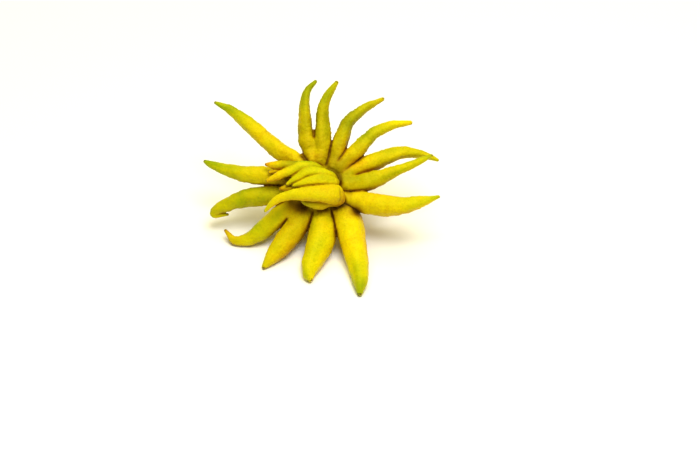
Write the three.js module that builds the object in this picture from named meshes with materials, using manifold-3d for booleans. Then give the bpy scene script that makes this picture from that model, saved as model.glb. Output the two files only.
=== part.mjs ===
// A fingered citron, lying on its heel and its lower fingers: one fruit, grown as one piece, with
// the calyx and the cut stub of its stem at the back. Millimetres, +Z up, -Y to the front.
//
// The fruit is described in a frame of its own, whose origin is where the fingers part: X runs
// across the fan of fingers, Y up the fan, and Z out of it, along the fruit's axis, away from the
// stem. One group leans that frame forward and stands it in place.
import * as THREE from 'three';
import { mergeVertices } from 'three/addons/utils/BufferGeometryUtils.js';
import Module from 'manifold-3d';

// Driving dimensions
const lean = 50;                                    // degrees from upright to the fruit's axis
const partingPoint = [-3.2, 5, 53.8];               // the fruit's own origin, in place
const sides = 10;                                   // facets round a finger
const ringsPerStation = 1.5;                        // rings for each step between stations
const touchGap = 0.3;                               // left between pieces that touch

// The body: a core from among the finger roots to the flat scar where the calyx sits. Each station
// here and below is [across, up, out, radius].
const core = [
  [3, 2, -3, 9], [2, 1, -9, 19], [1, 0, -15, 27.8], [0, 0, -24, 27], [0, -1, -38, 21],
  [0, -4, -50, 17.3], [0, -4.3, -60, 12.9], [0, 1.2, -67.4, 9], [0, 5.5, -72, 6.2],
];

// A finger goes on down the body as a rib. Its levels are depths behind the parting point, with
// the distance out from the axis and the share that it keeps of the finger's girth at its root.
const ribLevels = [
  { depth: 58, reach: 7, share: 0.55 },
  { depth: 44, reach: 13.5, share: 0.78 },
  { depth: 26, reach: 20, share: 0.95 },
];

// The fan, clockwise from the top. clock is the rib's direction in degrees from across to up.
const fan = [
  { clock: 104, stations: [[-6, 27, -9, 8], [-9, 40, -9, 7.6], [-11.5, 51, -10, 8.1],
    [-13, 66, -12, 7.2], [-13.6, 82, -15, 5.7], [-12.9, 94, -19, 4.5], [-10, 102.4, -22, 3.4],
    [-2.5, 110.5, -25, 1.8]] },
  { clock: 84, stations: [[2, 27, -7, 8], [4, 40, -7, 8], [4.6, 51, -8, 8.5], [4.3, 66, -10, 7.2],
    [4.8, 82, -12, 5.5], [8.1, 92, -14, 4.8], [12.4, 99.6, -15, 3.9], [18.9, 109, -16, 2]] },
  { clock: 64, stations: [[14, 22, -7, 7.6], [17.4, 32, -8, 8.1], [21, 44, -9, 8.3],
    [25, 56.1, -11, 7.5], [30.4, 68.6, -13, 6.7], [41.9, 79.4, -16, 5.3], [53, 86.3, -18, 4.1],
    [65.6, 92.4, -20, 1.9]] },
  { clock: 44, stations: [[20, 20, -6, 7.5], [29.8, 30.8, -6, 7.7], [39.2, 39.5, -7, 7.7],
    [47.6, 49.4, -9, 6.7], [59.8, 59.4, -11, 5.7], [77, 66, -13, 4.3], [93.6, 68.1, -15, 2.2]] },
  { clock: 26, stations: [[25, 13.6, -6.5, 7.8], [40, 21.6, -9, 8.3], [54, 27.5, -9, 8.8],
    [69, 33.3, -9, 7.8], [83.2, 37.6, -9, 6.4], [99, 36.8, -10, 4.7], [110, 34.2, -11, 3.5],
    [120.5, 30.1, -12, 1.6]] },
  { clock: 8, stations: [[27, 5.2, -2, 8.2], [40, 6, -1, 8.7], [51, 8.5, 0, 9.2], [62, 12.5, 1, 8],
    [75, 17.7, 2, 5.9], [90, 23.8, 3, 4.6], [103, 29.5, 4, 3.5], [113.8, 34.6, 5, 1.5]] },
  { clock: 344, stations: [[25, -9, -3, 9], [36, -10.9, 1, 9.8], [48, -12.9, 6, 10.9],
    [61, -15.1, 11, 11], [75, -16.4, 16, 9.9], [89, -15.2, 20, 8.1], [103, -11.8, 24, 5.5],
    [120, -7, 28, 1.5]] },
  { clock: 310, stations: [[20.4, -17, -5, 11.4], [28, -26, -2, 13.8], [31.8, -38.5, 3, 14],
    [34.8, -51, 8, 12.6], [37.4, -63, 14, 11.3], [39.8, -75, 22, 10.2], [41.6, -86, 32, 8.4],
    [42, -95, 40, 5.8], [41.6, -102.8, 44, 2.4]] },
  { clock: 274, stations: [[5.2, -20, -5, 10.8], [4.5, -30.5, -1, 12.2], [4.6, -41, 2, 13.9],
    [2.7, -51.5, 6, 14], [-1.6, -63, 11.8, 12], [-6.2, -73.5, 19.5, 9.7], [-8.4, -82, 25.5, 6.8],
    [-7.6, -89, 29.5, 2.6]] },
  { clock: 242, stations: [[-12, -22, -6, 10.5], [-19.3, -33, -3, 11.4], [-26.2, -43.5, -1, 11.8],
    [-34, -53, 2, 10.8], [-42.2, -62.5, 6, 8.5], [-49, -70.5, 10, 5.4], [-54, -77, 13.5, 2]] },
  { clock: 214, stations: [[-20, -13, -8, 10.6], [-32, -21, -8, 10.5], [-42.6, -29.4, -9, 10.2],
    [-53, -38.2, -11, 9.4], [-64.2, -46, -13, 7.7], [-75, -50.6, -14.5, 5.8],
    [-85, -49.8, -15.5, 4.2], [-93.8, -40, -16, 1.5]] },
  { clock: 187, stations: [[-25, -3, -8, 9.2], [-40, -4.6, -8, 9.4], [-54, -6, -9, 9.5],
    [-68, -7.2, -11, 9.3], [-82, -10.9, -14, 7.7], [-94.6, -15.7, -17, 6.3],
    [-104.2, -20.9, -19, 4.6], [-104, -25.4, -19.5, 2.9], [-91, -24.3, -20, 1.3]] },
  { clock: 163, stations: [[-25, 8, -8, 9], [-38, 12.6, -8, 9.4], [-52, 14.3, -8, 9.4],
    [-66, 15, -10, 8.8], [-80, 17.4, -13, 7.4], [-95, 21.4, -16, 5.5], [-107, 25.6, -19, 3.9],
    [-114.8, 29.4, -21, 1.8]] },
  { clock: 127, stations: [[-14, 21, -8, 9], [-24, 30.5, -8, 9], [-36.2, 37.8, -9, 8.8],
    [-48.5, 47.4, -12, 8.4], [-61.4, 59, -15, 8], [-74.2, 70, -18, 6.8], [-89.2, 81.3, -22, 4.6],
    [-104.6, 89, -25, 1.6]] },
];

// The inner fingers: they rise from the middle of the fan, bend at the knuckles and fold across it.
const fist = [
  [[2, 17, -10, 6], [0, 20, 7, 5.6], [-6, 23.4, 12, 4.9], [-16, 23.2, 14.6, 5.4],
    [-27, 18.6, 15.2, 5.1], [-38.5, 14, 14.5, 4.3], [-51, 8.6, 13, 1.6]],
  [[0, 16, -10, 6], [-8, 20, 5, 5.8], [-20, 23, 8, 5.6], [-32, 24, 9, 5.4], [-42, 24.6, 8, 4.3],
    [-52, 25.4, 7, 1.5]],
  [[-10, 12, -8, 6], [-22, 15.6, 6, 4.4], [-34, 18.4, 8, 3.8], [-49, 17.6, 7, 1.4]],
  [[12.4, 10, -15, 7.5], [12.4, 11.2, 0, 5.8], [12.9, 12, 10, 5.9], [9.5, 13.8, 16, 5.4],
    [1, 17.1, 18.8, 5.4], [-9.7, 16.9, 19.4, 5.4], [-20, 11.4, 18.4, 4.6], [-30.8, 5.1, 17, 1.6]],
  [[13, 4.5, -15, 7.5], [13.3, 4.9, 1, 6.3], [14.7, 5.6, 12, 6.6], [12, 7.2, 19, 6.6],
    [4, 8.9, 21.8, 6.7], [-8.6, 7.2, 21.9, 5.6], [-16.6, 5.2, 21.4, 3.9], [-24.5, 3.6, 21, 1.5]],
  [[13, -5, -10, 9], [18.3, -7.6, 11, 8.2], [15.4, -5.2, 22, 10.1], [4, -4.4, 26.6, 8.5],
    [-11.7, -4.4, 27.2, 6.8], [-26, -5.4, 26.5, 5.1], [-38, -9, 24.5, 4.2], [-46.6, -15.2, 22, 2.9],
    [-52.3, -21.6, 20.5, 1.4]],
  [[12, -7, -10, 9], [18, -9.6, 8, 7], [18, -10.4, 17.5, 5.9], [11, -11.9, 20, 5.2],
    [3, -14.2, 19.6, 5.3], [-4, -13.9, 19.4, 5], [-10, -12.6, 18.6, 4], [-15.5, -11, 18, 2]],
  [[-16, 2, -8, 6], [-24, 2.5, 8, 4.2], [-31, 2, 11, 3.4], [-38, 0.8, 12, 1.5]],
];

// The calyx is a five-lobed collar on the scar, and the stub is what the cut left of the stem.
const calyx = { radius: 8.6, notch: 2.2, thickness: 1.8, lobes: 5, pointsPerLobe: 6 };
const stub = { radius: 4.6, flare: 5.4, flareLength: 2.7, length: 9, sides: 20 };

const skin = new THREE.MeshStandardMaterial({ color: 0xc9bd16, roughness: 0.45, metalness: 0 });
const calyxGreen = new THREE.MeshStandardMaterial({ color: 0x6d7a2a, roughness: 0.7, metalness: 0 });
const stemGreen = new THREE.MeshStandardMaterial({ color: 0x4d5f24, roughness: 0.8, metalness: 0 });

const wasm = await Module();
wasm.setup();

// A smooth curve through the stations, and the radius along it.
function routeOf(stations) {
  const path = new THREE.CatmullRomCurve3(
    stations.map(([x, y, z]) => new THREE.Vector3(x, y, z)), false, 'catmullrom');
  const girth = new THREE.CatmullRomCurve3(
    stations.map(([, , , radius]) => new THREE.Vector3(radius, 0, 0)), false, 'catmullrom');
  return { path, radiusAt: (t) => girth.getPoint(t).x };
}

// A straight lathe whose height runs from 0 to 1, bent along the stations' curve. The first end is
// flat, and the last is flat or closes to a point.
function sweep(stations, { lastEnd = 'point', facets = sides } = {}) {
  const { path, radiusAt } = routeOf(stations);
  const rings = Math.round((stations.length - 1) * ringsPerStation);
  const lastRing = lastEnd === 'point' ? rings - 1 : rings;
  const profile = [new THREE.Vector2(0, 0)];
  for (let ring = 0; ring <= lastRing; ring += 1) {
    profile.push(new THREE.Vector2(radiusAt(ring / rings), ring / rings));
  }
  profile.push(new THREE.Vector2(0, 1));

  const geometry = new THREE.LatheGeometry(profile, facets);
  const place = geometry.attributes.position;
  const frames = framesAlong(path, rings);
  for (let i = 0; i < place.count; i += 1) {
    const ring = Math.round(place.getY(i) * rings);
    const { point, normal, binormal } = frames[ring];
    const bent = point.clone()
      .addScaledVector(normal, place.getX(i))
      .addScaledVector(binormal, place.getZ(i));
    place.setXYZ(i, bent.x, bent.y, bent.z);
  }
  return geometry;
}

// Frames carried along a curve with as little turning as possible: each takes the last one's
// normal, less what has come to lie along the new tangent. The first normal starts from the fruit's
// axis, or from Y where the curve sets out along that axis.
function framesAlong(path, rings) {
  const frames = [];
  const setsOutAlongAxis = Math.abs(path.getTangent(0).z) > 0.9;
  const normal = setsOutAlongAxis ? new THREE.Vector3(0, 1, 0) : new THREE.Vector3(0, 0, 1);
  for (let ring = 0; ring <= rings; ring += 1) {
    const point = path.getPoint(ring / rings);
    const tangent = path.getTangent(ring / rings);
    normal.addScaledVector(tangent, -normal.dot(tangent)).normalize();
    frames.push({ point, normal: normal.clone(), binormal: normal.clone().cross(tangent) });
  }
  return frames;
}

function toSolid(geometry) {
  const bare = geometry.clone();
  bare.deleteAttribute('normal');
  bare.deleteAttribute('uv');
  const merged = mergeVertices(bare, 1e-4);
  return new wasm.Manifold(new wasm.Mesh({
    numProp: 3,
    vertProperties: new Float32Array(merged.attributes.position.array),
    triVerts: new Uint32Array(merged.index.array),
  }));
}

function toGeometry(solid) {
  const { vertProperties, triVerts } = solid.getMesh();
  const geometry = new THREE.BufferGeometry();
  geometry.setAttribute('position', new THREE.BufferAttribute(vertProperties, 3));
  geometry.setIndex(new THREE.BufferAttribute(triVerts, 1));
  geometry.computeVertexNormals();
  return geometry;
}

function ribStations({ clock, stations }) {
  const girth = stations[0][3];
  const angle = THREE.MathUtils.degToRad(clock);
  return ribLevels.map(({ depth, reach, share }) => [
    reach * Math.cos(angle), reach * Math.sin(angle), -depth, girth * share,
  ]);
}

function makeFruit() {
  const ribbedFingers = fan.map((finger) => [...ribStations(finger), ...finger.stations]);
  let solid = toSolid(sweep(core, { lastEnd: 'flat', facets: 2 * sides }));
  for (const stations of [...ribbedFingers, ...fist]) {
    solid = solid.add(toSolid(sweep(stations)));
  }
  return toGeometry(solid);
}

// A flat collar whose rim swings out and in once for each lobe.
function makeCalyx() {
  const outline = new THREE.Shape();
  const points = calyx.lobes * calyx.pointsPerLobe;
  for (let i = 0; i < points; i += 1) {
    const angle = (2 * Math.PI * i) / points;
    const swing = 0.5 - 0.5 * Math.cos(calyx.lobes * angle);
    const radius = calyx.radius - calyx.notch * swing;
    const [x, y] = [radius * Math.cos(angle), radius * Math.sin(angle)];
    if (i === 0) outline.moveTo(x, y);
    else outline.lineTo(x, y);
  }
  return new THREE.ExtrudeGeometry(outline, { depth: calyx.thickness, bevelEnabled: false });
}

// A short stalk that flares where it meets the calyx and ends in a flat cut.
function makeStub() {
  const profile = [[0, 0], [stub.flare, 0], [stub.radius, stub.flareLength],
    [stub.radius, stub.length], [0, stub.length]];
  const points = profile.map(([radius, height]) => new THREE.Vector2(radius, height));
  return new THREE.LatheGeometry(points, stub.sides).rotateX(Math.PI / 2);
}

function mesh(name, geometry, material) {
  const piece = new THREE.Mesh(geometry, material);
  piece.name = name;
  return piece;
}

const fruit = mesh('fruit', makeFruit(), skin);

// The stem end: its Z axis carries on from the core's last stretch, and starts at the scar.
const stemEnd = new THREE.Group();
const { path: corePath } = routeOf(core);
stemEnd.position.copy(corePath.getPoint(1));
stemEnd.quaternion.setFromUnitVectors(new THREE.Vector3(0, 0, 1), corePath.getTangent(1));
const collar = mesh('calyx', makeCalyx(), calyxGreen);
collar.position.z = touchGap;
const stalk = mesh('stem_stub', makeStub(), stemGreen);
stalk.position.z = touchGap + calyx.thickness + touchGap;
stemEnd.add(collar, stalk);

const citron = new THREE.Group();
citron.rotation.x = THREE.MathUtils.degToRad(lean);
citron.position.set(...partingPoint);
citron.add(fruit, stemEnd);

const part = new THREE.Group();
part.add(citron);
export default part;
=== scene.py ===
"""A fingered citron resting on its heel and its lower fingers, with its calyx and stem stub."""
import math

import bmesh
import bpy
import numpy as np
from bpy.props import FloatProperty, FloatVectorProperty, PointerProperty
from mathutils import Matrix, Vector


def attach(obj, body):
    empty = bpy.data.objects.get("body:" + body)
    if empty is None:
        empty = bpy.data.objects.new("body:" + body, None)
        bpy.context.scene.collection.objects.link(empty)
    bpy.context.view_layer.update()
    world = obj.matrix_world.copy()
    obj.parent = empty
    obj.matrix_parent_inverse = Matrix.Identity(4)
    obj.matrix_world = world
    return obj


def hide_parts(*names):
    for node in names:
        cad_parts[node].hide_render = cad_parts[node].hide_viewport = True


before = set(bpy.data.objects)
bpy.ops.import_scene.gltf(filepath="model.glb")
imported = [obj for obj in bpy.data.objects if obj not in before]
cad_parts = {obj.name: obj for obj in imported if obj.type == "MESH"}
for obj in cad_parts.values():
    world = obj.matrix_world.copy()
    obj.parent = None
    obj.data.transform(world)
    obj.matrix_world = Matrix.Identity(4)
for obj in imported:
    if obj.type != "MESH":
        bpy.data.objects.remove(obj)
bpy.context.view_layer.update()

bl_info = {
    "name": "Fingered Citron",
    "version": (1, 0, 0),
    "blender": (4, 5, 0),
    "location": "3D View > Sidebar > Citron",
    "description": "Grows a fingered citron and sets it on a white table",
    "category": "Object",
}

MM = 0.001

# The fruit's own frame, in millimetres, has its origin where the fingers part: X across the fan of
# fingers, Y up the fan, Z out of it along the fruit's axis, away from the stem.
LEAN = math.radians(50)
PARTING_POINT = np.array((-3.2, 5.0, 53.8))

# Each station is [across, up, out, radius].
CORE = [
    (3, 2, -3, 9), (2, 1, -9, 19), (1, 0, -15, 27.8), (0, 0, -24, 27), (0, -1, -38, 21),
    (0, -4, -50, 17.3), (0, -4.3, -60, 12.9), (0, 1.2, -67.4, 9), (0, 5.5, -72, 6.2),
]
# The core's look: ripeness, then depth of colour, which carries painted shade too.
CORE_LOOKS = ((0.36, 0.60, 0.45), (0.45, 0.30, 0.30))       # ripeness, then depth

# A finger goes on down the body as a rib: depth behind the parting point, distance out from the
# axis, and the share that it keeps of the finger's girth at its root.
RIB_LEVELS = [(58, 7, 0.55), (44, 13.5, 0.78), (26, 20, 0.95)]
# The rib's look: ripeness, then depth of colour with painted shade.
RIB_LOOK = (0.60, 0.25)                                     # ripeness, then depth

# The peel's ripeness as it turns, from 0, leaf green, to 1, rind orange, and how deep its colour is,
# which also carries painted shade where the fingers get less light.
RIPENESS = {"leaf": 0.0, "olive": 0.2, "lime": 0.4, "lemon": 0.6, "gold": 0.8, "rind": 1.0}
DEPTH_AND_SHADE = {"clear": 0.0, "soft": 0.25, "dull": 0.5, "dark": 0.75}

# The fan, clockwise from the top: the rib's direction in degrees from across to up; the ripeness at
# root, middle and tip; the depth of colour there, partly painted shade; and the stations.
FAN = [
    (104, "lemon lime leaf", "dull dull soft",
     [(-6, 27, -9, 8), (-9, 40, -9, 7.6), (-11.5, 51, -10, 8.1), (-13, 66, -12, 7.2),
      (-13.6, 82, -15, 5.7), (-12.9, 94, -19, 4.5), (-10, 102.4, -22, 3.4),
      (-2.5, 110.5, -25, 1.8)]),
    (84, "gold olive olive", "dull dull soft",
     [(2, 27, -7, 8), (4, 40, -7, 8), (4.6, 51, -8, 8.5), (4.3, 66, -10, 7.2), (4.8, 82, -12, 5.5),
      (8.1, 92, -14, 4.8), (12.4, 99.6, -15, 3.9), (18.9, 109, -16, 2)]),
    (64, "gold olive lime", "dull dull soft",
     [(14, 22, -7, 7.6), (17.4, 32, -8, 8.1), (21, 44, -9, 8.3), (25, 56.1, -11, 7.5),
      (30.4, 68.6, -13, 6.7), (41.9, 79.4, -16, 5.3), (53, 86.3, -18, 4.1),
      (65.6, 92.4, -20, 1.9)]),
    (44, "gold olive lemon", "dull soft clear",
     [(20, 20, -6, 7.5), (29.8, 30.8, -6, 7.7), (39.2, 39.5, -7, 7.7), (47.6, 49.4, -9, 6.7),
      (59.8, 59.4, -11, 5.7), (77, 66, -13, 4.3), (93.6, 68.1, -15, 2.2)]),
    (26, "gold lime lime", "soft soft soft",
     [(25, 13.6, -6.5, 7.8), (40, 21.6, -9, 8.3), (54, 27.5, -9, 8.8), (69, 33.3, -9, 7.8),
      (83.2, 37.6, -9, 6.4), (99, 36.8, -10, 4.7), (110, 34.2, -11, 3.5), (120.5, 30.1, -12, 1.6)]),
    (8, "lime lime olive", "dull soft clear",
     [(27, 5.2, -2, 8.2), (40, 6, -1, 8.7), (51, 8.5, 0, 9.2), (62, 12.5, 1, 8), (75, 17.7, 2, 5.9),
      (90, 23.8, 3, 4.6), (103, 29.5, 4, 3.5), (113.8, 34.6, 5, 1.5)]),
    (344, "lemon lemon olive", "soft soft clear",
     [(25, -9, -3, 9), (36, -10.9, 1, 9.8), (48, -12.9, 6, 10.9), (61, -15.1, 11, 11),
      (75, -16.4, 16, 9.9), (89, -15.2, 20, 8.1), (103, -11.8, 24, 5.5), (120, -7, 28, 1.5)]),
    (310, "lemon lemon leaf", "clear clear clear",
     [(20.4, -17, -5, 11.4), (28, -26, -2, 13.8), (31.8, -38.5, 3, 14), (34.8, -51, 8, 12.6),
      (37.4, -63, 14, 11.3), (39.8, -75, 22, 10.2), (41.6, -86, 32, 8.4), (42, -95, 40, 5.8),
      (41.6, -102.8, 44, 2.4)]),
    (274, "lemon lime lime", "clear clear clear",
     [(5.2, -20, -5, 10.8), (4.5, -30.5, -1, 12.2), (4.6, -41, 2, 13.9), (2.7, -51.5, 6, 14),
      (-1.6, -63, 11.8, 12), (-6.2, -73.5, 19.5, 9.7), (-8.4, -82, 25.5, 6.8),
      (-7.6, -89, 29.5, 2.6)]),
    (242, "lemon lemon lime", "dull soft soft",
     [(-12, -22, -6, 10.5), (-19.3, -33, -3, 11.4), (-26.2, -43.5, -1, 11.8), (-34, -53, 2, 10.8),
      (-42.2, -62.5, 6, 8.5), (-49, -70.5, 10, 5.4), (-54, -77, 13.5, 2)]),
    (214, "lemon olive gold", "soft clear dull",
     [(-20, -13, -8, 10.6), (-32, -21, -8, 10.5), (-42.6, -29.4, -9, 10.2), (-53, -38.2, -11, 9.4),
      (-64.2, -46, -13, 7.7), (-75, -50.6, -14.5, 5.8), (-85, -49.8, -15.5, 4.2),
      (-93.8, -40, -16, 1.5)]),
    (187, "lime olive lime", "dull soft soft",
     [(-25, -3, -8, 9.2), (-40, -4.6, -8, 9.4), (-54, -6, -9, 9.5), (-68, -7.2, -11, 9.3),
      (-82, -10.9, -14, 7.7), (-94.6, -15.7, -17, 6.3), (-104.2, -20.9, -19, 4.6),
      (-104, -25.4, -19.5, 2.9), (-91, -24.3, -20, 1.3)]),
    (163, "lemon lime leaf", "soft soft clear",
     [(-25, 8, -8, 9), (-38, 12.6, -8, 9.4), (-52, 14.3, -8, 9.4), (-66, 15, -10, 8.8),
      (-80, 17.4, -13, 7.4), (-95, 21.4, -16, 5.5), (-107, 25.6, -19, 3.9),
      (-114.8, 29.4, -21, 1.8)]),
    (127, "lemon lemon leaf", "soft soft clear",
     [(-14, 21, -8, 9), (-24, 30.5, -8, 9), (-36.2, 37.8, -9, 8.8), (-48.5, 47.4, -12, 8.4),
      (-61.4, 59, -15, 8), (-74.2, 70, -18, 6.8), (-89.2, 81.3, -22, 4.6), (-104.6, 89, -25, 1.6)]),
]

# The inner fingers rise from the middle of the fan, bend at the knuckles and fold across it. Each
# has its ripeness, its depth of colour with painted shade, and its stations.
FIST = [
    ("lime olive gold", "dull clear soft",
     [(2, 17, -10, 6), (0, 20, 7, 5.6), (-6, 23.4, 12, 4.9), (-16, 23.2, 14.6, 5.4),
      (-27, 18.6, 15.2, 5.1), (-38.5, 14, 14.5, 4.3), (-51, 8.6, 13, 1.6)]),
    ("lime olive rind", "dull dark clear",
     [(0, 16, -10, 6), (-8, 20, 5, 5.8), (-20, 23, 8, 5.6), (-32, 24, 9, 5.4), (-42, 24.6, 8, 4.3),
      (-52, 25.4, 7, 1.5)]),
    ("lemon lemon gold", "dull dull soft",
     [(-10, 12, -8, 6), (-22, 15.6, 6, 4.4), (-34, 18.4, 8, 3.8), (-49, 17.6, 7, 1.4)]),
    ("lime olive lime", "dull clear clear",
     [(12.4, 10, -15, 7.5), (12.4, 11.2, 0, 5.8), (12.9, 12, 10, 5.9), (9.5, 13.8, 16, 5.4),
      (1, 17.1, 18.8, 5.4), (-9.7, 16.9, 19.4, 5.4), (-20, 11.4, 18.4, 4.6),
      (-30.8, 5.1, 17, 1.6)]),
    ("lemon lime lime", "clear soft clear",
     [(13, 4.5, -15, 7.5), (13.3, 4.9, 1, 6.3), (14.7, 5.6, 12, 6.6), (12, 7.2, 19, 6.6),
      (4, 8.9, 21.8, 6.7), (-8.6, 7.2, 21.9, 5.6), (-16.6, 5.2, 21.4, 3.9), (-24.5, 3.6, 21, 1.5)]),
    ("lime lemon lime", "soft soft clear",
     [(13, -5, -10, 9), (18.3, -7.6, 11, 8.2), (15.4, -5.2, 22, 10.1), (4, -4.4, 26.6, 8.5),
      (-11.7, -4.4, 27.2, 6.8), (-26, -5.4, 26.5, 5.1), (-38, -9, 24.5, 4.2),
      (-46.6, -15.2, 22, 2.9), (-52.3, -21.6, 20.5, 1.4)]),
    ("lemon lemon lime", "dull dull dull",
     [(12, -7, -10, 9), (18, -9.6, 8, 7), (18, -10.4, 17.5, 5.9), (11, -11.9, 20, 5.2),
      (3, -14.2, 19.6, 5.3), (-4, -13.9, 19.4, 5), (-10, -12.6, 18.6, 4), (-15.5, -11, 18, 2)]),
    ("gold gold gold", "dull dull dull",
     [(-16, 2, -8, 6), (-24, 2.5, 8, 4.2), (-31, 2, 11, 3.4), (-38, 0.8, 12, 1.5)]),
]

SEED = 11

# Curves and the fingers along them ---------------------------------------------------------------

SAMPLES_PER_SPAN = 12
ALONG_STEP = 1.3               # mm between the rings of a finger
TIP_TRIM = 0.4                 # of the tip's radius, by which its last ring stands short of its end
NO_TIP = 1e3                   # mm to the tip of what has none
RIB_SHARE = -0.12              # of a finger's length: how far down its rib has the rib's look
ROOT_SHARE = 0.06              # of a finger's length: how far along its root's look is reached
SIDES = 28                     # points in a ring
CAP_RINGS = 6                  # rings from a finger's end to the middle of its round cap

# The waves in a finger's girth: each one's size as a share of the radius, the times that it goes
# round, and the mm along the finger in which it shifts by a radian, the other way below nought.
WAVE_DRAWS = 8
WAVE_SPREAD = (0.6, 1.4)       # least and most that a finger's own draw makes of a wave's size
FACETS = [(0.022, 2, 31), (0.022, 3, -23), (0.020, 4, 37), (0.010, 6, -17)]
SWELL_SIZE = 0.012
SWELL_LENGTH = 6.1             # mm along the finger to a radian of its swells
SWELL_DRAW = 6
WAVE_AT_ROOT = 0.4             # the waves' share at the root
WAVE_GROWTH = 6.0              # and its growth over the length of the finger, until it is whole
WAVE_LEAST = 0.25
TIP_CALM = 6.0                 # mm before the tip over which the waves die out


def spline(stations):
    """Uniform Catmull-Rom curve through the stations, on all four numbers at once.

    Between stations b and c, with neighbours a and d, the curve at s from 0 to 1 is
    b + s m + s^2 (3(c - b) - 2m - n) + s^3 (2(b - c) + m + n), with m = (c - a)/2 and n = (d - b)/2.
    The end stations borrow a neighbour mirrored through themselves.
    """
    p = np.asarray(stations, float)
    p = np.vstack([2 * p[0] - p[1], p, 2 * p[-1] - p[-2]])
    a, b, c, d = p[:-3, None], p[1:-2, None], p[2:-1, None], p[3:, None]
    s = np.linspace(0, 1, SAMPLES_PER_SPAN, endpoint=False)[None, :, None]
    m, n = (c - a) / 2, (d - b) / 2
    curve = b + s * m + s**2 * (3 * (c - b) - 2 * m - n) + s**3 * (2 * (b - c) + m + n)
    return np.vstack([curve.reshape(-1, 4), p[-2]])


def lengths_along(points):
    """Distance along a chain of points, from the first one to each."""
    steps = np.linalg.norm(np.diff(points, axis=0), axis=1)
    return np.concatenate([[0.0], np.cumsum(steps)])


def carried_normals(tangents):
    """Normals carried along a curve with as little turning as possible.

    Each is the one before it, less what has come to lie along the new tangent, at unit length.
    """
    normal = np.array((0.0, 1.0, 0.0)) if abs(tangents[0, 2]) > 0.9 else np.array((0.0, 0.0, 1.0))
    normals = []
    for tangent in tangents:
        normal = normal - tangent * (normal @ tangent)
        normal = normal / np.linalg.norm(normal)
        normals.append(normal)
    return np.array(normals)


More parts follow.
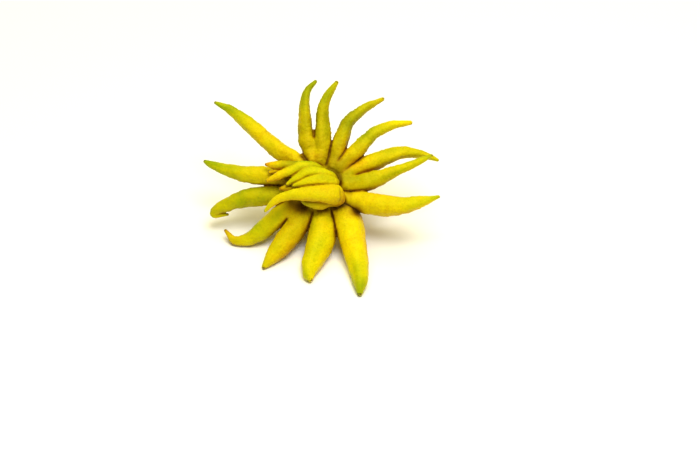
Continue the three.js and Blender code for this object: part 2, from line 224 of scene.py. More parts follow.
class Finger:
    """A finger, or the core: rings at equal steps along its curve, with their radii and looks."""

    def __init__(self, stations, looks, chance, root=0, pointed=True):
        """Stations below number `root` are the finger's rib on the body."""
        curve = spline(stations)
        along = lengths_along(curve[:, :3])
        end = along[-1] - (TIP_TRIM * curve[-1, 3] if pointed else 0)
        self.marks = np.linspace(0, end, int(end / ALONG_STEP) + 2)
        rings = np.stack([np.interp(self.marks, along, column) for column in curve.T], axis=1)
        self.centres, self.radii = rings[:, :3], rings[:, 3]
        tangents = np.gradient(self.centres, axis=0)
        self.tangents = tangents / np.linalg.norm(tangents, axis=1, keepdims=True)
        self.normals = carried_normals(self.tangents)
        self.binormals = np.cross(self.normals, self.tangents)
        root_mark = along[root * SAMPLES_PER_SPAN]
        self.share = (self.marks - root_mark) / (end - root_mark)
        stops = (RIB_SHARE, ROOT_SHARE if root else 0.0, 0.5, 1.0)
        self.looks = np.stack([
            np.interp(self.share, stops, (rib if root else look[0], *look))
            for rib, look in zip(RIB_LOOK, looks)], axis=1)
        turning = np.gradient(self.tangents, self.marks, axis=0)
        self.bends = np.linalg.norm(turning, axis=1)
        self.phases = chance.uniform(0, 2 * math.pi, WAVE_DRAWS)
        self.bulges = chance.uniform(*WAVE_SPREAD, WAVE_DRAWS)
        self.to_tip = end - self.marks if pointed else np.full(len(rings), NO_TIP)
        reach = self.radii.max() + NEAR
        self.lowest = self.centres.min(axis=0) - reach
        self.highest = self.centres.max(axis=0) + reach

    def skin(self):
        """The finger as a closed grid of rings by sides, with a rounded cap at each end.

        A point of ring i at angle t is centre + radius (cos t normal + sin t binormal). On the
        caps, ring j of them is moved along the tangent by radius sin a, and keeps radius cos a.
        """
        swing = np.linspace(0, math.pi / 2, CAP_RINGS)[1:-1]
        first, last = np.zeros(len(swing), int), np.full(len(swing), len(self.marks) - 1)
        ring = np.concatenate([first, np.arange(len(self.marks)), last])
        tilt = np.concatenate([-swing[::-1], np.zeros(len(self.marks)), swing])
        turn = np.linspace(0, 2 * math.pi, SIDES, endpoint=False)
        centre = self.centres[ring] + self.tangents[ring] * (self.radii[ring] * np.sin(tilt))[:, None]
        radius = (self.radii[ring] * np.cos(tilt))[:, None, None]
        spoke = (np.cos(turn)[None, :, None] * self.normals[ring][:, None]
                 + np.sin(turn)[None, :, None] * self.binormals[ring][:, None])
        return centre[:, None] + radius * spoke

    def _from_stretch(self, points, number):
        """Each point against the stretch from ring `number` to the next.

        Gives the stretch, the part of the way along it, the distance to there, and the radius there.
        """
        start, step = self.centres[number], self.centres[number + 1] - self.centres[number]
        part = np.clip(((points - start) * step).sum(axis=1) / (step**2).sum(axis=1), 0, 1)
        distance = np.linalg.norm(points - start - part[:, None] * step, axis=1)
        radius = self.radii[number] + part * (self.radii[number + 1] - self.radii[number])
        return number, part, distance, radius

    def reading(self, points):
        """How each point sees this finger: a dictionary of arrays, one value a point.

        gap is the distance to the nearest stretch of centreline less the radius there, the radius
        being stretched by a few low waves round the finger and along it. away is the direction
        out of the centreline. The nearest stretch is one of the two that meet at the nearest ring.
        """
        squares = ((points**2).sum(axis=1)[:, None] + (self.centres**2).sum(axis=1)
                   - 2 * points @ self.centres.T)
        ring = (np.sqrt(np.maximum(squares, 0)) - self.radii).argmin(axis=1)
        before = self._from_stretch(points, np.maximum(ring - 1, 0))
        after = self._from_stretch(points, np.minimum(ring, len(self.radii) - 2))
        later = (after[2] - after[3]) < (before[2] - before[3])
        nearest, part, distance, radius = (np.where(later, b, a) for a, b in zip(before, after))
        nearest = nearest.astype(int)
        stretch = self.centres[nearest + 1] - self.centres[nearest]
        along = self.centres[nearest] + part[:, None] * stretch
        away = (points - along) / np.maximum(distance, 1e-6)[:, None]

        def at(values):
            """The values of the stretch's two rings, mixed by the part of the way along it."""
            step = part.reshape((-1,) + (1,) * (values.ndim - 1))
            return values[nearest] * (1 - step) + values[nearest + 1] * step

        turn = np.arctan2((away * at(self.binormals)).sum(-1), (away * at(self.normals)).sum(-1))
        mark = at(self.marks)
        waves = sum(size * bulge * np.cos(times * turn + phase + mark / mm)
                    for (size, times, mm), bulge, phase in zip(FACETS, self.bulges, self.phases))
        waves = waves + (SWELL_SIZE * self.bulges[SWELL_DRAW]
                         * np.cos(mark / SWELL_LENGTH + self.phases[SWELL_DRAW]))
        grown = np.clip(at(self.share) * WAVE_GROWTH + WAVE_AT_ROOT, WAVE_LEAST, 1)
        to_tip = at(self.to_tip)
        fade = grown * np.clip(to_tip / TIP_CALM, 0, 1)
        return {
            "gap": distance - radius * (1 + waves * fade),
            "away": away, "turn": turn, "mark": mark, "radius": radius,
            "look": at(self.looks), "to_tip": to_tip, "bend": at(self.bends),
        }


# The whole skin ------------------------------------------------------------------------------------

NEAR = 7.0                     # mm from its skin within which a finger is looked at
FAR = 99.0                     # the gap given to a finger that isn't near
CHUNK = 6000                   # points looked at together
TINY = 1e-30                   # keeps logarithms and divisions off nought
NEAREST = ("turn", "mark", "to_tip", "radius", "bend")

# Neighbours in the fan whose trunks have grown together: the two, how far out from the axis they
# part, and how flat they are joined, in mm.
FUSED = [(0, 1, 51.5, 2.2), (2, 3, 35.0, 2.0), (4, 5, 38.0, 2.0), (9, 10, 40.0, 4.2)]
PART_EARLY = 1.0               # mm before that at which they begin to part
PART_OVER = 4.0                # mm over which they part
PARTED_SOFTNESS = 0.4
CLEFT_EARLY = 3.0              # mm before it at which the cleft between them begins
CLEFT_OVER = 2.5               # mm over which the cleft comes in

# How softly skins meet, in mm: the fingers by how far out of the fan they are, then the core.
CREASE_SOFTNESS = ((-45.0, 1.2), (-20.0, 0.8), (-2.0, 0.5))
CORE_SOFTNESS = 1.5
LOOK_SOFTNESS = 2.0            # mm over which one finger's look passes into the next one's
WEB = np.array((28.0, 13.0, -3.0))              # where the right-hand roots merge
WEB_REACH = 7.0
WEB_SOFTNESS = 1.6

CLEFT_WIDTH = 1.5
CLEFT_DEPTH = 1.2
FIST_CLEFT = 0.50              # how strong the clefts inside the fist are, beside the fan's
HOLLOWS = ((2.5, 0.50), (7.0, 0.40), (18.0, 0.10))      # reach in mm, and its share
# Painted shade: sides that face this way are made darker and riper in colour, as if less lit.
SHADED_FLANK = np.array((0.80, -0.58, -0.15))          # the way that the darker sides face
SKY = np.array((0.15, 0.93, 0.34))              # the way that the light comes from

# Corners that little light gets into: [across, up, out, reach], all in mm, and how dark they are.
CORNERS = [
    ((-26, -13, 2, 5.5), 0.75), ((-15, -17, 4, 5.8), 1.0), ((37, -21.5, 6, 6.2), 0.95),
    ((-37, 6, -2, 5.5), 0.55), ((-31, 8, 0, 3.0), 0.8), ((10.5, 21, 1, 2.6), 0.5),
    ((15, 18.5, 1, 2.6), 0.65), ((18.5, 15.5, 1, 2.8), 0.8), ((20.5, 12, 2, 2.8), 0.85),
    ((22, 7.5, 4.5, 2.8), 0.9), ((26, -14.5, 8, 3.0), 0.9), ((17, -17, 8, 3.5), 1.0),
    ((8, -19.5, 9, 3.2), 0.8), ((1, -19, 9, 3.6), 0.85), ((31, -3, 6, 3.5), 0.35),
    ((-16, 33.5, -2, 2.4), 0.8), ((-12.5, 30.5, 0, 2.4), 0.8),
]
# The fan's hollow, darker as painted shade and a little greener, as such corners.
PALM = [((13, 29, 0, 7.0), 1.0), ((22, 22, 1, 7.0), 1.0), ((29, 14, 2, 6.0), 1.0)]
# Short tucks of the peel, which are also darkened as painted shade: start, end, and width in mm.
TUCKS = [
    ((22.2, 1.5, 26.5), (22.5, -5, 28.4), 0.8), ((22.5, -5, 28.4), (22.2, -11, 27.6), 0.8),
]
TUCK_DEPTH = 0.55

# How the points come to lie on the skin.
SETTLE_ROUNDS = 5
UNEVENED_ROUNDS = 2            # the last rounds, which leave the points where they come to lie
STRIDE = 1.5                   # mm that a point may go in a round
EVENING = 0.55                 # the share of the way to its neighbours' mean


def ripples(points, wavelength, seed, count=28):
    """Smooth noise of about unit size: a sum of cosine waves in random directions.

    Each wave is cos(k . point + phase), its length within a third of the wavelength.
    """
    chance = np.random.default_rng(seed)
    ways = chance.standard_normal((points.shape[1], count))
    lengths = np.linalg.norm(ways, axis=0)
    ways *= 2 * math.pi / wavelength / lengths * chance.uniform(0.75, 1.35, count)
    phases = chance.uniform(0, 2 * math.pi, count)
    return np.cos(points @ ways + phases).sum(axis=1) / math.sqrt(count / 2)


def shades(ripeness, depth):
    """The numbers for a finger's ripeness and depth words, from its root to its tip."""
    return [RIPENESS[word] for word in ripeness.split()], [DEPTH_AND_SHADE[word] for word in depth.split()]


def grow_fingers():
    """The core, the fan's fingers with their ribs, and the fist's, in that order."""
    chance = np.random.default_rng(SEED)
    fingers = [Finger(CORE, CORE_LOOKS, chance, pointed=False)]
    for clock, ripeness, depth, stations in FAN:
        way = math.radians(clock)
        rib = [(reach * math.cos(way), reach * math.sin(way), -below, share * stations[0][3])
               for below, reach, share in RIB_LEVELS]
        fingers.append(Finger(rib + stations, shades(ripeness, depth), chance, root=len(rib)))
    fingers += [Finger(stations, shades(*words), chance) for *words, stations in FIST]
    return fingers


def scar():
    """Where the core ends, and the direction it ends in."""
    last, before = np.array(CORE[-1][:3], float), np.array(CORE[-2][:3], float)
    return last, (last - before) / np.linalg.norm(last - before)


def blended(gaps, aways, softness):
    """The gap to several skins at once and the way out, rounded over where the skins meet.

    The blend of gaps g is -k log(sum of exp(-g / k)), where k is the softness, and the way out is the
    mean of theirs weighed by exp(-g / k).
    """
    pulls = np.exp(-gaps / softness)
    total = np.maximum(pulls.sum(axis=0), TINY)
    out = (pulls[..., None] * aways).sum(axis=0)
    return -softness * np.log(total), out / np.maximum(np.linalg.norm(out, axis=1), TINY)[:, None]


def seen_by_all(points, fingers):
    """Each finger's gap, way out and look at each point, and what the nearest finger says there.

    A finger has the gap FAR at the points that it isn't near. The core is cut flat at its scar.
    """
    gaps = np.full((len(fingers), len(points)), FAR)
    aways = np.zeros((len(fingers), len(points), 3))
    looks = np.zeros((len(fingers), len(points), 2))
    nearest = {key: np.full(len(points), FAR) for key in NEAREST}
    nearest["finger"] = np.zeros(len(points), int)
    best = np.full(len(points), FAR)
    for number, finger in enumerate(fingers):
        rows = np.flatnonzero(((points > finger.lowest) & (points < finger.highest)).all(axis=1))
        for chunk in np.array_split(rows, max(1, len(rows) // CHUNK)):
            reading = finger.reading(points[chunk])
            if number == 0:
                place, axis = scar()
                beyond = (points[chunk] - place) @ axis
                cut = beyond > reading["gap"]
                reading["gap"] = np.where(cut, beyond, reading["gap"])
                reading["away"][cut] = axis
            gaps[number, chunk], aways[number, chunk] = reading["gap"], reading["away"]
            looks[number, chunk] = reading["look"]
            closer = reading["gap"] < best[chunk]
            won = chunk[closer]
            best[won] = reading["gap"][closer]
            nearest["finger"][won] = number
            for key in NEAREST:
                nearest[key][won] = reading[key][closer]
    return gaps, aways, looks, nearest


def fuse_trunks(gaps, points, crease):
    """Join the trunks that have grown together, up to where they part. Changes the gaps in place.

    A pair's gaps g become j - crease log(p / sum of p), with p = exp(-g / soft) and j the blend
    -soft log(sum of p), so that blending them by the crease afterwards gives j. Returned are the gaps
    that the clefts go by: along a trunk, the further one of its pair counts as FAR.
    """
    apart = gaps.copy()
    reach = np.hypot(points[:, 0], points[:, 1])
    for one, other, fork, softness in FUSED:
        pair = [one + 1, other + 1]
        parted = np.clip((reach - fork + PART_EARLY) / PART_OVER, 0, 1)
        soft = softness + parted * (PARTED_SOFTNESS - softness)
        pulls = np.exp(-gaps[pair] / soft)
        total = np.maximum(pulls.sum(axis=0), TINY)
        gaps[pair] = -soft * np.log(total) - crease * np.log(np.maximum(pulls / total, TINY))
        nearer, further = np.sort(apart[pair], axis=0)
        apart[pair[0]] = nearer
        joined = np.clip(1 - (reach - fork + CLEFT_EARLY) / CLEFT_OVER, 0, 1)
        apart[pair[1]] = further + FAR * joined**2
    return apart


def read_skin(points, fingers):
    """The skin's distance at each point, the way out of it, its look, and how far in a cleft it is.

    The fan's gaps are blended, and so are the fist's, then the two of them, and the core with them.
    Fingers that are both near make a cleft, and so do the fist and what lies under it.
    """
    gaps, aways, looks, nearest = seen_by_all(points, fingers)
    order = np.argpartition(gaps[1:], 1, axis=0)[:2]
    within_fist = (order >= len(FAN)).all(axis=0)
    crease = np.interp(points[:, 2], *zip(*CREASE_SOFTNESS))
    web = WEB_SOFTNESS * np.exp(-((points - WEB)**2).sum(axis=1) / (2 * WEB_REACH**2))
    apart = fuse_trunks(gaps, points, crease)
    first = 1 + len(FAN)
    of_fan, fan_out = blended(gaps[1:first], aways[1:first], crease + web)
    of_fist, fist_out = blended(gaps[first:], aways[first:], crease)
    hand, hand_out = blended(np.stack([of_fan, of_fist]), np.stack([fan_out, fist_out]), crease)
    gap, out = blended(np.stack([gaps[0], hand]), np.stack([aways[0], hand_out]), CORE_SOFTNESS)
    second = np.partition(apart[1:], 1, axis=0)[1]
    between_fingers = (np.exp(-np.maximum(second, 0) / CLEFT_WIDTH)
                       * np.where(within_fist, FIST_CLEFT, 1.0))
    palm = np.minimum(of_fan, gaps[0])
    round_fist = np.exp(-(np.maximum(of_fist, 0) + np.maximum(palm, 0)) / CLEFT_WIDTH)
    spread = np.exp(-(gaps - gaps.min(axis=0)) / LOOK_SOFTNESS)
    looks = (spread[..., None] * looks).sum(axis=0) / spread.sum(axis=0)[:, None]
    return {
        "gap": gap,
        "out": out,
        "cleft": np.maximum(between_fingers, round_fist),
        "ripeness": looks[:, 0],
        "depth": looks[:, 1],
        **nearest,
    }


def hollows(points, out, fingers):
    """How closed in each point is, from 0 in the open to 1 at the bottom of a slot.

    A step h straight out of an open skin is h away from it. Where fingers stand round about, it is
    less: a weighed mean over the reaches h of 1 - gap / h, kept within 0 and 1.
    """
    return sum(share * np.clip(1 - read_skin(points + h * out, fingers)["gap"] / h, 0, 1)
               for h, share in HOLLOWS)


def dimness(points, corners):
    """How far each point is into some dim corners, from 0 to 1.

    A corner's own part is its darkness times exp(-d^2 / (2 reach^2)), d being the distance to it, and
    the parts p join as 1 - product of (1 - p).
    """
    left = np.ones(len(points))
    for (across, up, out, reach), darkness in corners:
        squares = ((points - (across, up, out))**2).sum(axis=1)
        left *= 1 - darkness * np.exp(-squares / (2 * reach**2))
    return 1 - left


def tuckedness(points, tucks):
    """How far each point is into a tuck of the peel, from 0 to 1.

    A tuck runs straight from its start to its end, and counts for exp(-d^2 / (2 width^2)), d being
    the distance to the nearest spot on it.
    """
    most = np.zeros(len(points))
    for start, end, width in tucks:
        run = np.subtract(end, start)
        along = np.clip((points - start) @ run / (run @ run), 0, 1)
        squares = ((points - start - along[:, None] * run)**2).sum(axis=1)
        most = np.maximum(most, np.exp(-squares / (2 * width**2)))
    return most


def relaxed(points, out, edges, share):
    """Each point moved along the skin, part of the way to its neighbours' mean."""
    ends = np.concatenate([edges, edges[:, ::-1]])
    count = np.bincount(ends[:, 0], minlength=len(points))
    mean = np.stack([np.bincount(ends[:, 0], points[ends[:, 1], axis], len(points))
                     for axis in range(3)], axis=1) / count[:, None]
    move = mean - points
    return points + share * (move - out * (move * out).sum(axis=1, keepdims=True))


def settled(points, edges, fingers):
    """Points brought onto the skin along its way out, and evened between times."""
    for number in range(SETTLE_ROUNDS):
        skin = read_skin(points, fingers)
        points = points - np.clip(skin["gap"], -STRIDE, STRIDE)[:, None] * skin["out"]
        if number < SETTLE_ROUNDS - UNEVENED_ROUNDS:
            points = relaxed(points, skin["out"], edges, EVENING)
    return points


def in_place(points):
    """Points of the fruit's own frame, in millimetres, as metres in place.

    The frame leans forward about X by the lean, and then its origin goes to the parting point.
    """
    x, y, z = np.asarray(points, float).T
    c, s = math.cos(LEAN), math.sin(LEAN)
    return MM * (np.stack([x, c * y - s * z, s * y + c * z], axis=1) + PARTING_POINT)


# Meshes --------------------------------------------------------------------------------------------


def closed_mesh(name, grids):
    """One mesh of closed skins, each from a grid of rings by sides with a pole at each end.

    Corner (ring i, side j) joins (i, j + 1), (i + 1, j + 1) and (i + 1, j), sides wrapping round,
    and the first and last rings fan to a pole at their mean.
    """
    corners, quads, fans, start = [], [], [], 0
    for grid in grids:
        rings, sides = grid.shape[:2]
        side = np.arange(sides)
        after = (side + 1) % sides
        ring = np.arange(rings - 1)[:, None] * sides
        quads.append(start + np.stack([ring + side, ring + after, ring + sides + after,
                                       ring + sides + side], axis=-1).reshape(-1, 4))
        low_pole, high_pole = rings * sides, rings * sides + 1
        top = (rings - 1) * sides
        fans.append(start + np.stack([np.full(sides, low_pole), after, side], axis=1))
        fans.append(start + np.stack([np.full(sides, high_pole), top + side, top + after], axis=1))
        corners += [grid.reshape(-1, 3), grid[0].mean(axis=0)[None], grid[-1].mean(axis=0)[None]]
        start += rings * sides + 2
    mesh = bpy.data.meshes.new(name)
    faces = np.concatenate(quads).tolist() + np.concatenate(fans).tolist()
    mesh.from_pydata(np.concatenate(corners).tolist(), [], faces)
    mesh.update()
    return mesh


def remeshed(mesh, step):
    """The union of a mesh's skins as one mesh of even squares, step metres across."""
    rough = bpy.data.objects.new("rough", mesh)
    bpy.context.scene.collection.objects.link(rough)
    modifier = rough.modifiers.new("Remesh", "REMESH")
    modifier.mode = "VOXEL"
    modifier.voxel_size = step
    seen = rough.evaluated_get(bpy.context.evaluated_depsgraph_get())
    made = bpy.data.meshes.new_from_object(seen)
    bpy.data.objects.remove(rough)
    drop_specks(made)
    return made


def drop_specks(mesh):
    """Leave only the largest island of the mesh.

    Each point takes the lowest label among its own, its neighbours' and its label's own label, until
    none changes; points that end with the same label are one island.
    """
    first, second = edges_of(mesh).T
    label = np.arange(len(mesh.vertices))
    while True:
        lower = label.copy()
        np.minimum.at(lower, first, label[second])
        np.minimum.at(lower, second, label[first])
        lower = lower[lower]
        if np.array_equal(lower, label):
            break
        label = lower
    strays = np.flatnonzero(label != np.bincount(label).argmax())
    draft = bmesh.new()
    draft.from_mesh(mesh)
    draft.verts.ensure_lookup_table()
    bmesh.ops.delete(draft, geom=[draft.verts[number] for number in strays], context="VERTS")
    draft.to_mesh(mesh)
    draft.free()


def corners_of(mesh):
    """The mesh's points, a row each."""
    flat = np.empty(3 * len(mesh.vertices), np.float32)
    mesh.vertices.foreach_get("co", flat)
    return flat.reshape(-1, 3).astype(float)


def edges_of(mesh):
    """The mesh's edges, as rows of two point numbers."""
    flat = np.empty(2 * len(mesh.edges), np.int32)
    mesh.edges.foreach_get("vertices", flat)
    return flat.reshape(-1, 2)


def paint(mesh, name, values):
    """A named value at each point of the mesh, for the material to read."""
    values = np.asarray(values, np.float32)
    kind, key = ("FLOAT_VECTOR", "vector") if values.ndim == 2 else ("FLOAT", "value")
    mesh.attributes.new(name, kind, "POINT").data.foreach_set(key, values.ravel())


def finished(name, mesh, material, node):
    """The piece for a CAD node: its object at the origin, riding on the root in the node's stead."""
    mesh.shade_smooth()
    mesh.materials.append(material)
    piece = bpy.data.objects.new(name, mesh)
    bpy.context.scene.collection.objects.link(piece)
    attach(piece, "root")
    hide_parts(node)
    return piece


# Materials -----------------------------------------------------------------------------------------


class Signal:
    """A node's output. Arithmetic on it adds Math nodes to the same surface."""

    def __init__(self, surface, socket):
        self.surface, self.socket = surface, socket

    def math(self, operation, *operands):
        """A Math node on these values or signals."""
        return self.surface.node("ShaderNodeMath", {"operation": operation}, dict(enumerate(operands)))

    def __add__(self, other):
        return self.math("ADD", self, other)

    def __radd__(self, other):
        return self.math("ADD", other, self)

    def __sub__(self, other):
        return self.math("SUBTRACT", self, other)

    def __rsub__(self, other):
        return self.math("SUBTRACT", other, self)

    def __mul__(self, other):
        return self.math("MULTIPLY", self, other)

    def __rmul__(self, other):
        return self.math("MULTIPLY", other, self)


class Surface:
    """A material's nodes, round one Principled shader."""

    def __init__(self, name):
        self.material = bpy.data.materials.new(name)
        self.material.use_nodes = True
        self.tree = self.material.node_tree
        self.tree.nodes.clear()
        self.shader = self.tree.nodes.new("ShaderNodeBsdfPrincipled")
        output = self.tree.nodes.new("ShaderNodeOutputMaterial")
        self.tree.links.new(self.shader.outputs["BSDF"], output.inputs["Surface"])

    def node(self, kind, settings=None, sockets=None, output=0):
        """A node of that kind: its settings, then its sockets' values or links. Returns an output."""
        made = self.tree.nodes.new(kind)
        for name, value in (settings or {}).items():
            if name == "stops":
                self._lay_stops(made.color_ramp.elements, value)
            else:
                setattr(made, name, value)
        for name, value in (sockets or {}).items():
            self._fill(made.inputs[name], value)
        return Signal(self, made.outputs[output])

    def _fill(self, socket, value):
        """Links a signal to the socket, or sets its value."""
        if isinstance(value, Signal):
            self.tree.links.new(value.socket, socket)
        elif socket.type == "RGBA" and len(value) == 3:
            socket.default_value = (*value, 1)
        else:
            socket.default_value = value

    @staticmethod
    def _lay_stops(elements, stops):
        """Gives a new ramp, which has two elements, the stops' places and colours."""
        for place, colour in stops[1:-1]:
            elements.new(place).color = (*colour, 1)
        for element, (place, colour) in ((elements[0], stops[0]), (elements[-1], stops[-1])):
            element.position, element.color = place, (*colour, 1)

    def attribute(self, name, output="Fac"):
        """What paint() wrote on the mesh by that name."""
        return self.node("ShaderNodeAttribute", {"attribute_name": name}, output=output)

    def own_place(self):
        """The point in the piece's own coordinates, in metres."""
        return self.node("ShaderNodeTexCoord", output="Object")

    def grain(self, scale, detail=2.0, roughness=0.5, place=None):
        """Noise from about 0 to 1, scale cells to the metre."""
        return self.node("ShaderNodeTexNoise", {}, {
            "Vector": place or self.own_place(), "Scale": scale, "Detail": detail,
            "Roughness": roughness})

    def ramp(self, signal, stops):
        """A colour by a signal, from stops of place and colour."""
        return self.node("ShaderNodeValToRGB", {"stops": stops}, {"Fac": signal}, "Color")

    def between(self, signal, low, high):
        """0 at low, 1 at high, easing at both."""
        return self.node("ShaderNodeMapRange", {"interpolation_type": "SMOOTHSTEP"}, {
            "Value": signal, "From Min": low, "From Max": high})

    def mixed(self, factor, first, second, blend="MIX"):
        """Two colours by a factor."""
        return self.node("ShaderNodeMix", {"data_type": "RGBA", "blend_type": blend}, {
            "Factor": factor, 6: first, 7: second}, 2)

    def bumped(self, height, distance, strength=1.0):
        """The normal bent by a height from 0 to 1, distance metres at 1."""
        return self.node("ShaderNodeBump", {}, {
            "Height": height, "Distance": distance, "Strength": strength}, "Normal")

    def shade(self, **sockets):
        """The shader's own sockets, by name with _ for a space."""
        for name, value in sockets.items():
            self._fill(self.shader.inputs[name.replace("_", " ")], value)
        return self.material


def peel_material(colours):
    """Waxy peel by ripeness, with painted shade in clefts, hollows and corners, brown dry tips and
    oil-gland pits.
    """
    peel = Surface("peel")
    place = peel.own_place()
    mottle = peel.grain(90, detail=4, roughness=0.6, place=place)
    fine = peel.grain(900, detail=3, roughness=0.6, place=place)
    blotch = peel.grain(330, detail=2, place=place)
    ripeness = (peel.attribute("ripeness") + 0.16 * (mottle - 0.5) + 0.14 * (blotch - 0.5)
                + 0.08 * (fine - 0.5))
    skin = peel.ramp(ripeness, [
        (0.0, colours.leaf), (0.2, colours.olive), (0.4, colours.lime),
        (0.6, colours.lemon), (0.78, colours.gold), (1.0, colours.rind)])

    # Oil glands are pits, a little greener than the peel between them.
    glands = peel.node("ShaderNodeTexVoronoi", {"feature": "F1"}, {
        "Vector": place, "Scale": 620, "Randomness": 0.9}, "Distance")
    pit = 1 - peel.between(glands, 0.05, 0.55)
    skin = peel.mixed(pit * 0.30, skin, colours.olive, "MULTIPLY")
    # The peel's depth of colour, partly painted shade, and painted shade in its hollows.
    depth = peel.attribute("depth") + 0.12 * (mottle - 0.5) + 0.20 * (blotch - 0.5)
    skin = peel.mixed(depth, skin, colours.deep_and_shade, "MULTIPLY")
    hollow = peel.between(peel.attribute("hollow"), 0.12, 0.75)
    skin = peel.mixed(hollow * 0.75, skin, colours.shade, "MULTIPLY")

    # Painted shade along the clefts: a browner edge and a near-black bottom; after it the dry tips and
    # scuffs are brown.
    cleft = peel.attribute("cleft") * (0.7 + 0.6 * mottle)
    skin = peel.mixed(peel.between(cleft, 0.02, 0.40) * 0.8, skin, colours.seam, "MULTIPLY")
    skin = peel.mixed(peel.between(cleft, 0.20, 0.58) * 0.95, skin, colours.cleft)
    scuffs = peel.attribute("scuff") + 0.5 * (fine - 0.5)
    skin = peel.mixed(peel.between(scuffs, 0.55, 1.1), skin, colours.speck)

    height = 0.6 * (1 - pit) + 0.3 * fine + 0.5 * mottle
    return peel.shade(
        Base_Color=skin, Roughness=0.45 + 0.16 * (fine - 0.3), Normal=peel.bumped(height, 0.00022, 0.7),
        Specular_IOR_Level=0.22, Specular_Tint=(*colours.sheen, 1), Subsurface_Weight=0.05,
        Subsurface_Radius=(1.0, 0.55, 0.05), Subsurface_Scale=0.003)


def calyx_material(colours):
    """Dry green-brown collar, paler on its lobes and dark in its wrinkles."""
    collar = Surface("calyx")
    mottle = collar.grain(420, detail=5, roughness=0.65)
    wrinkle = collar.attribute("wrinkle")
    dry = collar.between(collar.attribute("rim") + 0.6 * (mottle - 0.5), 0.45, 1.0)
    skin = collar.mixed(dry, colours.calyx, colours.dry)
    dark = collar.between(wrinkle + 0.5 * (mottle - 0.5), 0.2, 0.9)
    skin = collar.mixed(dark * 0.55, skin, colours.bark)
    return collar.shade(
        Base_Color=skin, Roughness=0.62 + 0.25 * (mottle - 0.5),
        Normal=collar.bumped(mottle, 0.0004, 0.8), Specular_IOR_Level=0.35)


def stub_material(colours):
    """Woody stalk: green-brown bark with fibres along it, and a pale cut with a darker ring."""
    stub = Surface("stem stub")
    place = stub.attribute("stem_place", "Vector")
    stretched = stub.node("ShaderNodeMapping", {}, {
        "Vector": place, "Scale": (1.6, 1.6, 0.16)}, "Vector")
    fibre = stub.grain(1.0, detail=5, roughness=0.6, place=stretched)
    mottle = stub.grain(260, detail=4, roughness=0.6)
    bark = stub.mixed(stub.between(fibre, 0.36, 0.66), colours.bark, colours.stalk)
    bark = stub.mixed(stub.between(mottle, 0.55, 0.8) * 0.5, bark, colours.dry)
    spread = stub.attribute("from_middle")
    grain = stub.grain(1.4, detail=4, place=place)
    pith = stub.ramp(spread + 0.10 * (grain - 0.5), [
        (0.0, colours.bark), (0.10, colours.dry), (0.30, colours.wood), (0.72, colours.wood),
        (0.86, colours.stalk), (1.0, colours.bark)])
    skin = stub.mixed(stub.attribute("cut"), bark, pith)
    return stub.shade(
        Base_Color=skin, Roughness=0.72 + 0.2 * (fibre - 0.5),
        Normal=stub.bumped(fibre, 0.0006, 0.8), Specular_IOR_Level=0.3)


def table_material(colour):
    """Smooth pale board."""
    board = Surface("table")
    haze = board.grain(3, detail=1)
    tint = board.mixed(haze * 0.02, colour, (1, 1, 1))
    return board.shade(Base_Color=tint, Roughness=0.85, Specular_IOR_Level=0.2)


# Sizes and colours that a user may change ----------------------------------------------------------


def tint(name, description, default):
    """A colour property."""
    return FloatVectorProperty(name=name, description=description, default=default, min=0, max=1,
                               size=3, subtype="COLOR")


def height_of(name, description, default, most):
    """A property for a small height in metres."""
    return FloatProperty(name=name, description=description, default=default, min=0, max=most,
                         subtype="DISTANCE", unit="LENGTH")


CAMERA_DISTANCE = 2.2          # metres from the camera to the middle of its view
VIEW_WIDTH = 0.7               # metres across the view there
SENSOR_WIDTH = 36              # mm


class CitronPeel(bpy.types.PropertyGroup):
    """The fruit's skin."""
    step: FloatProperty(
        name="Skin step", description="Spacing of the points that the skin is made of",
        default=0.00108, min=0.0008, max=0.004, subtype="DISTANCE", unit="LENGTH")
    lumps: height_of("Lumps", "Height of the peel's wide lumps", 0.00022, 0.002)
    folds: height_of("Folds", "Height of the folds across a finger where it bends", 0.00024, 0.002)
    warts: height_of("Warts", "Height of the peel's small bumps", 0.00015, 0.001)
    leaf: tint("Leaf", "Peel that is still green", (0.28, 0.36, 0.002))
    olive: tint("Olive", "Peel that is turning", (0.46, 0.47, 0.002))
    lime: tint("Lime", "Green-yellow peel", (0.64, 0.574, 0.002))
    lemon: tint("Lemon", "Yellow peel", (0.78, 0.624, 0.002))
    gold: tint("Gold", "Ripe golden peel", (0.78, 0.525, 0.002))
    rind: tint("Rind", "Overripe peel at the roots and tips", (0.66, 0.295, 0.002))
    # The next four darken the peel: depth of colour with painted shade, then painted shade in the
    # hollows, beside the clefts and in them.
    deep_and_shade: tint("Deep", "What the colour is multiplied by where it is deepest", (0.30, 0.26, 0.2))
    shade: tint("Shade", "What the colour is multiplied by in the hollows", (0.42, 0.22, 0.12))
    seam: tint("Seam", "What the colour is multiplied by beside a cleft", (0.72, 0.45, 0.2))
    cleft: tint("Cleft", "The seams between the fingers", (0.05, 0.016, 0.002))
    sheen: tint("Sheen", "The tint of the peel's gloss", (1.0, 0.92, 0.1))
    speck: tint("Speck", "Dry tips and scuffs", (0.10, 0.05, 0.012))


class CitronStem(bpy.types.PropertyGroup):
    """The calyx and the stem stub."""
    lobes: FloatProperty(
        name="Lobe swing", description="How far the calyx's rim swings in between its lobes",
        default=0.0022, min=0, max=0.004, subtype="DISTANCE", unit="LENGTH")
    calyx: tint("Calyx", "The collar's green", (0.15, 0.17, 0.035))
    dry: tint("Dry", "Dried edges and scurf", (0.36, 0.27, 0.11))
    bark: tint("Bark", "Dark bark and wrinkles", (0.055, 0.045, 0.02))
    stalk: tint("Stalk", "The stalk's green", (0.12, 0.15, 0.04))
    wood: tint("Wood", "The pale cut", (0.62, 0.52, 0.30))


